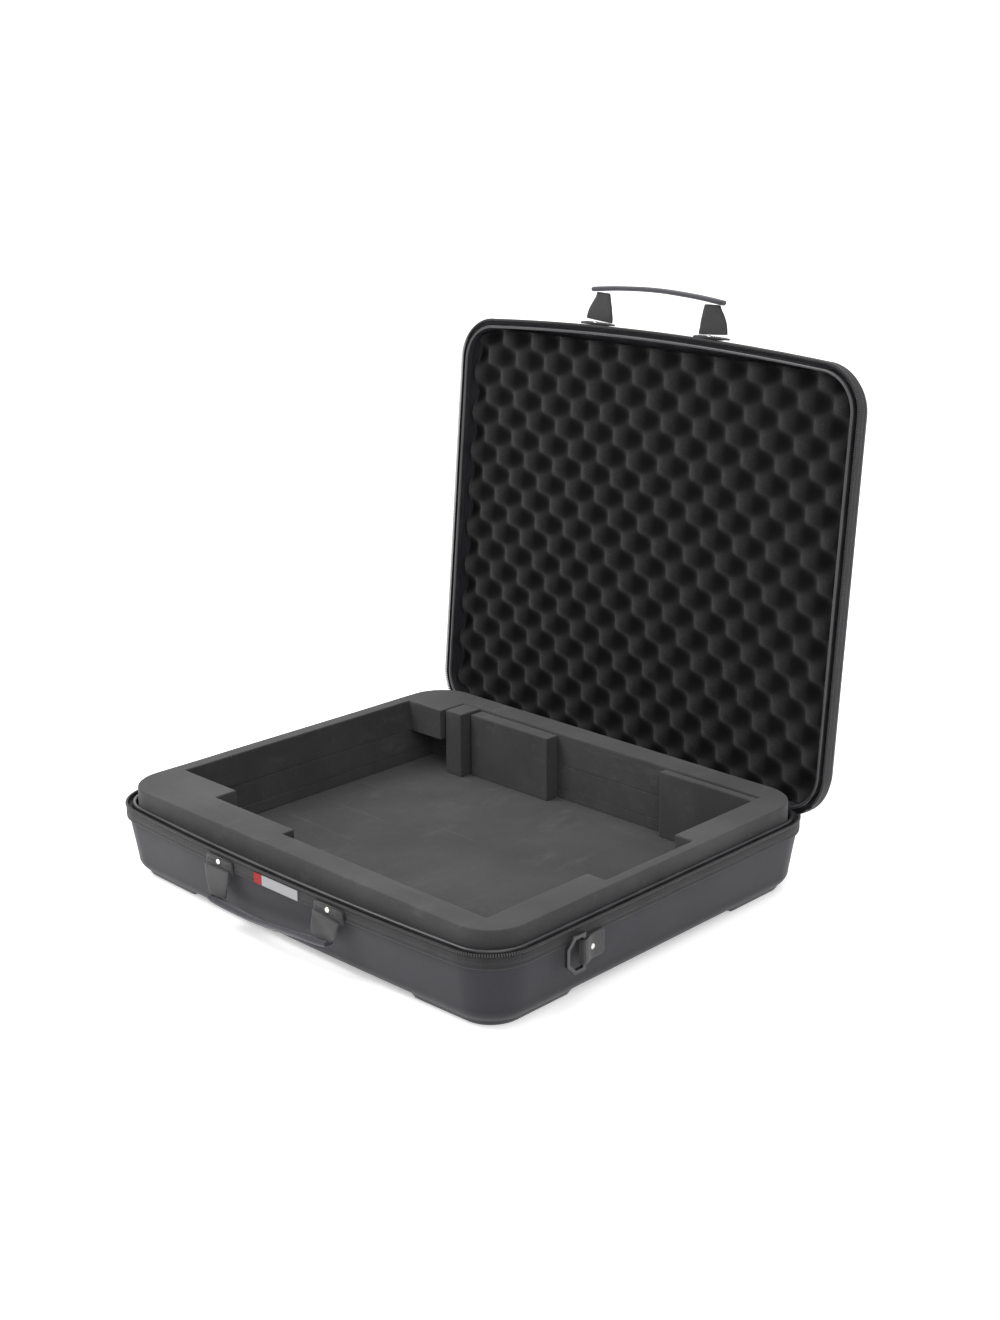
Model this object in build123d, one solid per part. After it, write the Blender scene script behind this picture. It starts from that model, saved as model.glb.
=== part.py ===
"""A moulded foam carry case that opens like a clamshell.

Both halves are shells of moulded foam board covered in cloth, joined by a zip
and by a cloth hinge along the back. The base holds a cut foam pocket and the
lid is lined with convoluted foam. Each half has a webbing handle on its front
wall, and the base has a D-ring on each side wall.

Millimetres. X runs to the right, Y runs from the front to the hinge and Z is
up. The origin is on the floor, under the middle of the open case. The shapes
are drawn about the middle of the base and moved to that origin at the end.
"""
from build123d import *
import math
import os

# ---- driving dimensions -------------------------------------------------
HALF_WIDTH = 252.0        # half of the case's width at the zip
HALF_DEPTH = 212.0        # half of its depth at the zip
CORNER = 45.0             # plan radius of the corners at the zip
FRONT_BOW = 7.0           # how far the middle of the front edge bulges
BOW_EASE = 0.065          # how much of the bulge is lost for each millimetre of depth
RIM_Z = 71.0              # height of the plane where the two halves meet
FOOT_HEIGHT = 4.5         # moulded corner pads, below the base and over the lid
LID_DEPTH = 28.0          # rim plane to the flat of the lid
WALL = 4.0                # thickness of the moulded shells
EDGE_ROUND = 13.0         # rounding between a wall and the flat of a shell
DRAFT = math.tan(math.radians(9.0))
PAD_LENGTH = 92.0         # how far a corner pad runs along each side

OPEN_ANGLE = 95.0         # lid angle in the modelled, open position
HINGE_INSET = 7.5         # hinge axis, inside the back face and under the rim
ORIGIN_Y = 25.564         # middle of the open case behind the middle of the base

# Rim parts, as offsets inward from the outline and down from the rim plane
SHELL_TOP = 6.0
SHELL_INSET = 1.5
TAPE_INSET = 0.5
TAPE_THICKNESS = 1.0
TAPE_LOW = 14.0
TAPE_HIGH = 3.7
COIL_RADIUS = 1.45
COIL_DROP = 2.1
LIP_INSET = 6.3
LIP_THICKNESS = 3.4
LIP_LOW = 8.0
LIP_HIGH = 0.4
ZIP_END_ANGLE = 50.0      # how far round each back corner the zip tape runs
TEETH_END_ANGLE = 40.0
HINGE_TOP = 5.6           # top of the base's half of the hinge strip

# Foam in the base
FOAM_INSET = 10.4
FOAM_PROUD = 14.0         # the foam stands this far above the rim plane
FOAM_CORNER = 34.0
FOAM_TOP_CHAMFER = 1.0
FLOOR_THICKNESS = 8.2
FLOOR_INSET = 19.0
LOWER_LAYER = 12.0
LOWER_INSET = 13.8
MIDDLE_LAYER = 24.0
MIDDLE_INSET = 11.9
GAP = 0.3

# Pocket in the base foam, seen from above
POCKET_LEFT = -227.0
POCKET_RIGHT = 211.0
POCKET_BACK = 174.0
POCKET_FRONT = -177.0
RECESS_X = 231.0
RECESS_FRONT = -60.0
RECESS_BACK = 52.0
CORNER_BLOCK_X = -150.0
CORNER_BLOCK_Y = -141.0
STEP_Y = -164.0
STEP_X = -38.0
UPPER_BLOCK_X = -179.0
UPPER_BLOCK_Y = 141.0

# Foam in the lid
LID_FOAM_FACE = 14.6      # depth of the foam's face behind the rim plane
LID_FOAM_CHAMFER = 6.0

# Plain label on the front of the base
LABEL_LEFT = -25.0
LABEL_RIGHT = 32.0
LABEL_THICKNESS = 0.8
LABEL_DROP = 4.4
LABEL_HEIGHT = 9.0

# Webbing, handles and rings
HANDLE_HALF_SPAN = 72.0
TAB_WIDTH = 36.0
WEBBING = 2.4
ROOT_DROP = 13.0          # handle pivots, away from the rim plane
TAB_LENGTH = 29.0
TAB_NECK = 22.0
GRIP_WIDTH = 12.0
GRIP_THICKNESS = 5.0
PATCH_HEIGHT = 12.0
PATCH_DROP = 11.0
RIVET_DROP = 8.2
RIVET_RADIUS = 2.6
RIVET_HEIGHT = 1.5
RING_Y = -113.0           # the straight bar of each ring
RING_DROP = 22.5
RING_HEIGHT = 33.0
RING_LENGTH = 20.0
RING_WIRE = 3.2
RING_BEVEL = 9.0
RING_TAB_WIDTH = 22.0
RING_TAB_LENGTH = 25.0
RING_LOOP = 3.5

# Zip slider
SLIDER_Y = 158.0
SLIDER_LENGTH = 14.0
PULL_LENGTH = 24.0

FLOOR_Z = FOOT_HEIGHT + WALL
AXIS_Y = HALF_DEPTH - HINGE_INSET
AXIS_Z = RIM_Z - HINGE_INSET
HINGE_LINE = Axis((0, AXIS_Y, AXIS_Z), (1, 0, 0))


# ---- outlines -------------------------------------------------------------
def outline(inset, radius, bow=FRONT_BOW):
    """Closed wire of the case's plan outline, moved inward by inset."""
    half_x = HALF_WIDTH - inset
    half_y = HALF_DEPTH - inset
    straight_x = half_x - radius
    straight_y = half_y - radius
    mid = radius * math.sqrt(0.5)
    front = ((-straight_x, -half_y), (straight_x, -half_y))
    if bow:
        edges = [ThreePointArc(front[0], (0, -half_y - bow), front[1])]
    else:
        edges = [Line(*front)]
    for sign_x, sign_y in ((1, -1), (1, 1), (-1, 1), (-1, -1)):
        centre_x = sign_x * straight_x
        centre_y = sign_y * straight_y
        on_side = (sign_x * half_x, centre_y)
        on_end = (centre_x, sign_y * half_y)
        middle = (centre_x + sign_x * mid, centre_y + sign_y * mid)
        start, end = (on_end, on_side) if sign_x * sign_y < 0 else (on_side, on_end)
        edges.append(ThreePointArc(start, middle, end))
        if (sign_x, sign_y) == (1, -1):
            edges.append(Line(end, (half_x, straight_y)))
        if (sign_x, sign_y) == (1, 1):
            edges.append(Line(end, (-straight_x, half_y)))
        if (sign_x, sign_y) == (-1, 1):
            edges.append(Line(end, (-half_x, -straight_y)))
    return Wire(edges)


def face_at(inset, radius, z, bow=FRONT_BOW):
    """Plan outline as a face at height z."""
    return Pos(0, 0, z) * Face(outline(inset, radius, bow))


def prism(inset, radius, low, high, bow=FRONT_BOW):
    """Straight-sided block of the plan outline between two heights."""
    return extrude(face_at(inset, radius, low, bow), high - low)


def ring(inset, thickness, low, high, radius=CORNER):
    """Vertical band that follows the plan outline."""
    outer = prism(inset, radius - inset, low, high)
    inner_inset = inset + thickness
    return outer - prism(inner_inset, radius - inner_inset, low - 1, high + 1)


def tray(inset, depth, edge_round):
    """Block with drafted walls from the rim, rounded to a flat underside.

    The rim plane is z = 0 and the tray hangs down to z = -depth.
    """
    steps = 5
    wall_depth = depth - edge_round
    levels = [(SHELL_TOP, inset), (wall_depth, inset + (wall_depth - SHELL_TOP) * DRAFT)]
    for step in range(1, steps + 1):
        angle = math.radians(90.0 * step / steps)
        level = wall_depth + edge_round * math.sin(angle)
        levels.append((level, levels[1][1] + edge_round * (1 - math.cos(angle))))
    sections = []
    for level, level_inset in levels:
        bow = FRONT_BOW - (level - SHELL_TOP) * BOW_EASE
        sections.append(face_at(level_inset, CORNER - level_inset * 0.92, -level, bow))
    return loft(sections, ruled=True)


def corner_pads(depth, wall_inset):
    """Four moulded pads under the corners of a tray."""
    half_x = HALF_WIDTH - wall_inset
    half_y = HALF_DEPTH - wall_inset
    slab = prism(wall_inset + 4.0, CORNER - 12.0, -depth - FOOT_HEIGHT, -depth + 2.0, 0)
    pads = Part()
    for sign_x in (-1, 1):
        for sign_y in (-1, 1):
            block = Box(PAD_LENGTH * 2, PAD_LENGTH * 2, FOOT_HEIGHT + 2.0)
            block = fillet(block.edges().filter_by(Axis.Z), 26.0)
            block = Pos(sign_x * half_x, sign_y * half_y, -depth - FOOT_HEIGHT / 2 + 1.0) * block
            pads += slab & block
    return pads


def shell(depth):
    """One half of the case: drafted walls, flat, and corner pads as one moulding."""
    outer = tray(SHELL_INSET, depth, EDGE_ROUND)
    inner = tray(SHELL_INSET + WALL, depth - WALL, EDGE_ROUND - WALL)
    wall_inset = SHELL_INSET + (depth - EDGE_ROUND - SHELL_TOP) * DRAFT
    pads = corner_pads(depth, wall_inset + EDGE_ROUND * 0.5)
    mouth = prism(SHELL_INSET + WALL, CORNER - SHELL_INSET - WALL, -SHELL_TOP - 0.01, 1.0)
    return outer + pads - inner - mouth


# ---- placing --------------------------------------------------------------
def in_base(shape):
    """Lifts a base part, modelled from the rim plane, to its place."""
    return Pos(0, 0, RIM_Z) * shape


def in_lid(shape):
    """Turns a part modelled like a base part over, and opens it with the lid."""
    closed = Pos(0, 0, RIM_Z) * mirror(shape, about=Plane.XY)
    return closed.rotate(HINGE_LINE, -OPEN_ANGLE)


# ---- rim -------------------------------------------------------------------
def hinge_cutter(low, high, angle=ZIP_END_ANGLE):
    """Block over the back of the case, where the hinge replaces the zip."""
    centre_y = HALF_DEPTH - CORNER
    front_y = centre_y + CORNER * math.sin(math.radians(angle))
    depth = HALF_DEPTH + 10 - front_y
    return Pos(0, front_y + depth / 2, (low + high) / 2) * Box(HALF_WIDTH * 2.2, depth, high - low)


def zip_tape():
    band = ring(TAPE_INSET, TAPE_THICKNESS, -TAPE_LOW, -TAPE_HIGH)
    return band - hinge_cutter(-TAPE_LOW - 1, 0)


def zip_coil():
    """The moulded teeth, as a bead along the top of the tape."""
    size = COIL_RADIUS * 2
    middle = TAPE_INSET + TAPE_THICKNESS / 2
    band = ring(middle - COIL_RADIUS, size, -COIL_DROP - COIL_RADIUS, -COIL_DROP + COIL_RADIUS)
    return band - hinge_cutter(-10, 5, TEETH_END_ANGLE)


def zip_stops():
    """Two small clamps over the ends of the tape, past the teeth."""
    centre_x = HALF_WIDTH - CORNER
    centre_y = HALF_DEPTH - CORNER
    radius = CORNER - TAPE_INSET - TAPE_THICKNESS / 2
    angle = math.radians((ZIP_END_ANGLE + TEETH_END_ANGLE) / 2)
    clamp = Box(3.6, 2.4, 3.2)
    stops = []
    for side in (-1, 1):
        x = side * (centre_x + radius * math.cos(angle))
        y = centre_y + radius * math.sin(angle)
        turn = Rot(0, 0, math.degrees(angle) * side)
        placed = Pos(x, y, -TAPE_HIGH - 0.6) * turn * clamp
        stops.append(placed - ring(TAPE_INSET - 0.02, TAPE_THICKNESS + 0.04, -TAPE_LOW, -TAPE_HIGH))
    return stops


def lip():
    """Bound inner edge that stands along the inside of the zip."""
    band = ring(LIP_INSET, LIP_THICKNESS, -LIP_LOW, -LIP_HIGH)
    top_edges = band.edges().group_by(Axis.Z)[-1]
    return fillet(top_edges, LIP_THICKNESS * 0.4)


def hinge_strip(top):
    """Cloth strip along the back, from the shell up to the fold."""
    band = ring(TAPE_INSET, TAPE_THICKNESS, -TAPE_LOW, -top)
    gap = 0.6
    back = Pos(0, gap, 0) * hinge_cutter(-TAPE_LOW - 1, 5)
    return band & back


# ---- base foam ---------------------------------------------------------------
def pocket_plan(with_corner_block):
    """Plan of the pocket, clockwise from its front left corner."""
    points = [
        (POCKET_LEFT, CORNER_BLOCK_Y),
        (CORNER_BLOCK_X, CORNER_BLOCK_Y),
        (CORNER_BLOCK_X, STEP_Y),
        (STEP_X, STEP_Y),
        (STEP_X, POCKET_FRONT),
        (POCKET_RIGHT, POCKET_FRONT),
        (POCKET_RIGHT, RECESS_FRONT),
        (RECESS_X, RECESS_FRONT),
        (RECESS_X, RECESS_BACK),
        (POCKET_RIGHT, RECESS_BACK),
        (POCKET_RIGHT, POCKET_BACK),
    ]
    if with_corner_block:
        points += [
            (UPPER_BLOCK_X, POCKET_BACK),
            (UPPER_BLOCK_X, UPPER_BLOCK_Y),
            (POCKET_LEFT, UPPER_BLOCK_Y),
        ]
    else:
        points.append((POCKET_LEFT, POCKET_BACK))
    return Face(Wire.make_polygon(points, close=True))


def foam_layer(inset, low, high, top_layer=False):
    """One cut sheet of the foam that lines the base."""
    corner = max(FOAM_CORNER, CORNER - inset * 0.7)
    sheet = extrude(Pos(0, 0, low) * Face(outline(inset, corner, 0)), high - low)
    if top_layer:
        sheet = chamfer(sheet.edges().group_by(Axis.Z)[-1], FOAM_TOP_CHAMFER)
    pocket = extrude(Pos(0, 0, low - 1) * pocket_plan(top_layer), high - low + 2)
    return sheet - pocket


def block(low_corner, high_corner, edge_round=0.0):
    """Rectangular piece between two corners."""
    size = [high - low for low, high in zip(low_corner, high_corner)]
    centre = [(high + low) / 2 for low, high in zip(low_corner, high_corner)]
    piece = Box(*size)
    if edge_round:
        piece = fillet(piece.edges().filter_by(Axis.Z), edge_round)
    return Pos(*centre) * piece


def foam_floor():
    """Pad on the bottom of the base, chamfered to sit in the rounded edge."""
    pad = extrude(Pos(0, 0, FLOOR_Z) * Face(outline(FLOOR_INSET, FOAM_CORNER, 0)), FLOOR_THICKNESS)
    return chamfer(pad.edges().group_by(Axis.Z)[0], 4.0)


def lid_foam():
    """Sheet of convoluted foam in the lid, as the slab between its limits."""
    back = LID_DEPTH - WALL - GAP
    face = face_at(FOAM_INSET, FOAM_CORNER, -back, 0)
    slab = extrude(face, back - LID_FOAM_FACE)
    return chamfer(slab.edges().group_by(Axis.Z)[0], LID_FOAM_CHAMFER)


# ---- handles -------------------------------------------------------------------
FRONT_FACE_Y = -(HALF_DEPTH - TAPE_INSET + FRONT_BOW * 0.95)
HANDLE_Y = FRONT_FACE_Y - WEBBING - GAP * 2 - WEBBING / 2


def handle_tabs():
    """Two folded webbing tabs that hang from the pivot line and taper to the grip."""
    half = TAB_WIDTH / 2
    neck = TAB_NECK / 2
    corners = [(-half, 0), (half, 0), (neck, -TAB_LENGTH), (-neck, -TAB_LENGTH)]
    plan = Plane.XZ * Face(Wire.make_polygon(corners, close=True))
    tab = extrude(plan, WEBBING / 2, both=True)
    return [Pos(side * HANDLE_HALF_SPAN, 0, 0) * tab for side in (-1, 1)]


def handle_grip():
    """Padded strap between the lower ends of the tabs, bowed a little."""
    low = -TAB_LENGTH - GRIP_THICKNESS / 2
    end = HANDLE_HALF_SPAN + TAB_NECK / 2
    path = ThreePointArc((-end, 0, low), (0, 0, low - 4.0), (end, 0, low))
    section = Plane(origin=path @ 0, x_dir=(0, 1, 0), z_dir=path % 0) * RectangleRounded(
        GRIP_WIDTH, GRIP_THICKNESS, 1.8)
    return sweep(section, path)


def on_front(shape):
    """Moves a handle part to its pivot on the front wall, from the rim plane."""
    return Pos(0, HANDLE_Y, -ROOT_DROP) * shape


def handle_patches():
    """Webbing patches sewn over the edge tape, behind the roots of a handle."""
    y = FRONT_FACE_Y - WEBBING / 2
    patch = Box(TAB_WIDTH, WEBBING, PATCH_HEIGHT)
    return [Pos(side * HANDLE_HALF_SPAN, y, -PATCH_DROP) * patch for side in (-1, 1)]


def handle_rivets():
    """One rivet head over each tab, through its patch."""
    y = FRONT_FACE_Y - WEBBING - RIVET_HEIGHT / 2
    head = Cylinder(RIVET_RADIUS, RIVET_HEIGHT, rotation=(90, 0, 0))
    return [Pos(side * HANDLE_HALF_SPAN, y, -RIVET_DROP) * head for side in (-1, 1)]


def front_label():
    """Plain sewn label between the handle's patches."""
    y = -(HALF_DEPTH - TAPE_INSET + FRONT_BOW) - LABEL_THICKNESS
    low = (LABEL_LEFT, y, -LABEL_DROP - LABEL_HEIGHT)
    return block(low, (LABEL_RIGHT, y + LABEL_THICKNESS, -LABEL_DROP))


# ---- rings ------------------------------------------------------------------------
RING_X = HALF_WIDTH - TAPE_INSET + GAP + RING_LOOP


def d_ring():
    """Ring in the YZ plane: straight bar on the Z axis, bevelled loop towards -Y."""
    half = RING_HEIGHT / 2
    back = RING_WIRE / 2
    points = [(back, -half), (-RING_LENGTH + RING_BEVEL, -half), (-RING_LENGTH, -half + RING_BEVEL),
              (-RING_LENGTH, half - RING_BEVEL), (-RING_LENGTH + RING_BEVEL, half), (back, half)]
    outer = Face(Wire.make_polygon(points, close=True))
    wire = RING_WIRE
    corner = RING_BEVEL + wire * (math.sqrt(2) - 1)
    high = half - wire
    front = -RING_LENGTH + wire
    hole = [(-back, -high), (-RING_LENGTH + corner, -high), (front, -half + corner),
            (front, half - corner), (-RING_LENGTH + corner, high), (-back, high)]
    inner = Face(Wire.make_polygon(hole, close=True))
    return extrude(Plane.YZ * (outer - inner), wire / 2, both=True)


def ring_tab():
    """Webbing loop round the ring's bar and the flat tab behind it, along +Y."""
    loop = Cylinder(RING_LOOP, RING_TAB_WIDTH)
    tab = Pos(-RING_LOOP + WEBBING / 2, RING_TAB_LENGTH / 2 + RING_LOOP * 0.8, 0) * Box(
        WEBBING, RING_TAB_LENGTH, RING_TAB_WIDTH)
    bore = Cylinder(RING_LOOP - 1.0, RING_TAB_WIDTH + 2)
    return loop + tab - bore


def ring_rivet():
    head = Cylinder(RIVET_RADIUS, RIVET_HEIGHT, rotation=(0, 90, 0))
    return Pos(-RING_LOOP + WEBBING + RIVET_HEIGHT / 2, RING_TAB_LENGTH * 0.45, 0) * head


def on_side(shape, side):
    """Places a part of the right ring, or its mirror image on the left."""
    placed = Pos(RING_X, RING_Y, -RING_DROP) * shape
    if side < 0:
        placed = mirror(placed, about=Plane.YZ)
    return placed


# ---- zip slider --------------------------------------------------------------------
PLATE = 1.0
SLIDER_HEIGHT = 10.0
OUTER_PLATE = HALF_WIDTH + 0.9
INNER_PLATE = HALF_WIDTH - 2.9
PIN_X = OUTER_PLATE + 3.0
PIN_RADIUS = 0.7
EAR_GAP = 5.4


def zip_slider():
    """Two plates over the teeth, the post between them and the ears for the pull."""
    half = SLIDER_LENGTH / 2
    tall = SLIDER_HEIGHT / 2
    outer = block((OUTER_PLATE, -half, -tall), (OUTER_PLATE + PLATE, half, tall))
    inner = block((INNER_PLATE - PLATE, -half, -tall), (INNER_PLATE, half, tall))
    post = block((INNER_PLATE - PLATE, half - 5.0, -0.4), (OUTER_PLATE + PLATE, half, 0.4))
    body = outer + inner + post
    for side in (-1, 1):
        ear = block((OUTER_PLATE + PLATE, -2.0, 0), (PIN_X + 1.4, 2.0, 1.0))
        body += Pos(0, 0, side * (EAR_GAP + 1.0) / 2 - 0.5) * ear
    body += Pos(PIN_X, 0, 0) * Cylinder(PIN_RADIUS, EAR_GAP + 2.0)
    return body


def zip_pull():
    """Flat pull that turns on the slider's pin and lies along -Y."""
    width = EAR_GAP - 0.6
    eye = Pos(PIN_X, 0, 0) * Cylinder(1.9, width)
    neck = block((PIN_X - 0.7, -8.0, -width / 2), (PIN_X + 0.7, 0, width / 2))
    tongue = Pos(PIN_X, -PULL_LENGTH + 8.0, 0) * Box(1.4, 16.0, 6.4)
    bore = Pos(PIN_X, 0, 0) * Cylinder(PIN_RADIUS + 0.25, width + 2)
    return eye + neck + tongue - bore


def on_left_zip(shape):
    return mirror(Pos(0, SLIDER_Y, 0) * shape, about=Plane.YZ)


# ---- assembly ----------------------------------------------------------------------
def moved(place, shapes):
    """Applies a placing function to one shape or to a list of them."""
    if isinstance(shapes, list):
        return [place(shape) for shape in shapes]
    return place(shapes)


def build_nodes():
    """Every node's name and its solids, in the open position."""
    base_depth = RIM_Z - FOOT_HEIGHT
    lower_z = FLOOR_Z + FLOOR_THICKNESS + 0.3
    middle_z = lower_z + LOWER_LAYER
    upper_z = middle_z + MIDDLE_LAYER
    top_z = RIM_Z + FOAM_PROUD

    nodes = {
        "base_shell": moved(in_base, shell(base_depth)),
        "base_zip_tape": moved(in_base, zip_tape()),
        "base_zip_teeth": moved(in_base, zip_coil()),
        "base_rim_lip": moved(in_base, lip()),
        "hinge_strip_lower": moved(in_base, hinge_strip(HINGE_TOP)),
        "floor_pad": foam_floor(),
        "foam_layer_lower": foam_layer(LOWER_INSET, lower_z, middle_z),
        "foam_layer_middle": foam_layer(MIDDLE_INSET, middle_z, upper_z),
        "foam_layer_upper": foam_layer(FOAM_INSET, upper_z, top_z, True),
    }

    floor_top = lower_z - 0.1
    nodes["corner_post"] = block((-177, 146, floor_top), (-154, POCKET_BACK - 0.1, top_z), 1.0)
    nodes["back_wall_pad"] = block((-152, 158, floor_top), (-43, POCKET_BACK - 0.1, top_z - 2), 1.0)
    nodes["back_right_block"] = block(
        (98, 165, floor_top), (POCKET_RIGHT - 0.2, POCKET_BACK - 0.1, top_z - 2), 1.0)
    nodes["front_strip"] = block(
        (102, POCKET_FRONT + 0.1, floor_top), (POCKET_RIGHT - 0.2, POCKET_FRONT + 8, top_z - 6), 1.0)

    nodes["front_label"] = in_base(front_label())
    nodes["base_handle_patches"] = moved(in_base, handle_patches())
    nodes["base_handle_rivets"] = moved(in_base, handle_rivets())
    nodes["base_handle_tabs"] = [in_base(on_front(tab)) for tab in handle_tabs()]
    nodes["base_handle_grip"] = in_base(on_front(handle_grip()))

    straight_out = Rot(-90, 0, 0)
    nodes["lid_shell"] = in_lid(shell(LID_DEPTH))
    nodes["lid_zip_tape"] = in_lid(zip_tape())
    nodes["lid_zip_teeth"] = in_lid(zip_coil())
    nodes["lid_rim_lip"] = in_lid(lip())
    nodes["hinge_strip_upper"] = in_lid(hinge_strip(LIP_HIGH + 0.3))
    nodes["convoluted_foam"] = in_lid(lid_foam())
    nodes["lid_handle_patches"] = moved(in_lid, handle_patches())
    nodes["lid_handle_rivets"] = moved(in_lid, handle_rivets())
    nodes["lid_handle_tabs"] = [in_lid(on_front(straight_out * tab)) for tab in handle_tabs()]
    nodes["lid_handle_grip"] = in_lid(on_front(straight_out * handle_grip()))

    for side, name in ((-1, "left"), (1, "right")):
        nodes[f"d_ring_{name}"] = in_base(on_side(d_ring(), side))
        nodes[f"ring_tab_{name}"] = in_base(on_side(ring_tab(), side))
    nodes["ring_tab_rivets"] = [in_base(on_side(ring_rivet(), side)) for side in (-1, 1)]
    nodes["zip_end_stops"] = moved(in_base, zip_stops())
    nodes["zip_slider"] = in_base(on_left_zip(zip_slider()))
    nodes["zip_pull"] = in_base(on_left_zip(zip_pull()))
    return nodes


def main():
    os.makedirs("parts", exist_ok=True)
    for name, solids in build_nodes().items():
        if isinstance(solids, list):
            solids = Compound(children=solids)
        export_step(Pos(0, -ORIGIN_Y, 0) * solids, f"parts/{name}.step")


main()
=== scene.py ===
"""Looks of a foam-lined clamshell carry case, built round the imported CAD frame.

Lengths are in millimetres in the case's own coordinates: x to the right, y from
the middle of the base towards the hinge, and drop, the distance below the rim
plane in the base or above it in the closed lid. base_place and lid_place turn
them into metres in the row frame, with the lid standing open.
"""
import math

import bmesh
import bpy
from mathutils import Matrix, Vector, noise


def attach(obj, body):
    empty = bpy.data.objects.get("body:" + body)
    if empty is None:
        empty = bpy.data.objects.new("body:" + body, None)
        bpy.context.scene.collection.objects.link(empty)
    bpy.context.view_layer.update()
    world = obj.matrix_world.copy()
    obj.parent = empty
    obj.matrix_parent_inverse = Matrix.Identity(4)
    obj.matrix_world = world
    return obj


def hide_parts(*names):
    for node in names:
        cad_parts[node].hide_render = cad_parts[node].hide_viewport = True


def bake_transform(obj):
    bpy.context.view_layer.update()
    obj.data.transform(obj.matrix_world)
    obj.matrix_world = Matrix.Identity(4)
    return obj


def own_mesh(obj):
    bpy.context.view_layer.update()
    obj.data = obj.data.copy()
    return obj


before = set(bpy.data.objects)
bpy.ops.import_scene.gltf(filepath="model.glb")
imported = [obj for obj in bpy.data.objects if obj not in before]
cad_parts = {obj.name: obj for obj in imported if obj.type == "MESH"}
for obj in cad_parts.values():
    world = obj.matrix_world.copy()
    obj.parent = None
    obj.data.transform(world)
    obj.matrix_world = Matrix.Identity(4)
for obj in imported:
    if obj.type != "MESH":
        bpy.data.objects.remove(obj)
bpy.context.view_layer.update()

# ---- sizes shared with the CAD model ----------------------------------------
MM = 0.001
ORIGIN_Y = 25.564
HALF_WIDTH = 252.0
HALF_DEPTH = 212.0
CORNER = 45.0
FRONT_BOW = 7.0
BOW_EASE = 0.065
RIM_Z = 71.0
FOOT_HEIGHT = 4.5
BASE_DEPTH = RIM_Z - FOOT_HEIGHT
LID_DEPTH = 28.0
WALL = 4.0
EDGE_ROUND = 13.0
DRAFT = math.tan(math.radians(9.0))
PAD_LENGTH = 92.0
OPEN_ANGLE = math.radians(95.0)
AXIS_Y = HALF_DEPTH - 7.5
AXIS_Z = RIM_Z - 7.5
SHELL_TOP = 6.0
SHELL_INSET = 1.5
ZIP_END = 50.0
TEETH_END = 40.0
FOAM_INSET = 10.4
FOAM_PROUD = 14.0
FLOOR_Z = 8.5
LAYER_HEIGHTS = (17.0, 29.0, 53.0, RIM_Z + FOAM_PROUD)
HANDLE_OUT = 222.35
HANDLE_DROP = 13.0
HANDLE_SPAN = 72.0
RING_X = 255.3
RING_Y = -113.0
RING_DROP = 22.5

# Convoluted foam
PITCH_X = 40.0
PITCH_Y = 41.0
PIT_X = -14.8
PIT_Y = -29.8
PEAK_DEPTH = 9.0
PIT_DEPTH = 21.5
FOAM_BACK = 23.6


# ---- placing ----------------------------------------------------------------
def base_place(x, y, drop):
    """Point of the base, in metres in the row frame."""
    return Vector((x, y - ORIGIN_Y, RIM_Z - drop)) * MM


def lid_place(x, y, drop):
    """Point of the lid, in the open position, in metres in the row frame."""
    across = y - AXIS_Y
    up = RIM_Z + drop - AXIS_Z
    cos, sin = math.cos(OPEN_ANGLE), math.sin(OPEN_ANGLE)
    return Vector((x, AXIS_Y + across * cos + up * sin - ORIGIN_Y, AXIS_Z - across * sin + up * cos)) * MM


# The vector noise takes its offsets from the clock until it is given a seed.
NOISE_SEED = 7
noise.seed_set(NOISE_SEED)


def smoothstep(low, high, value):
    t = min(max((value - low) / (high - low), 0.0), 1.0)
    return t * t * (3 - 2 * t)


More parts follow.
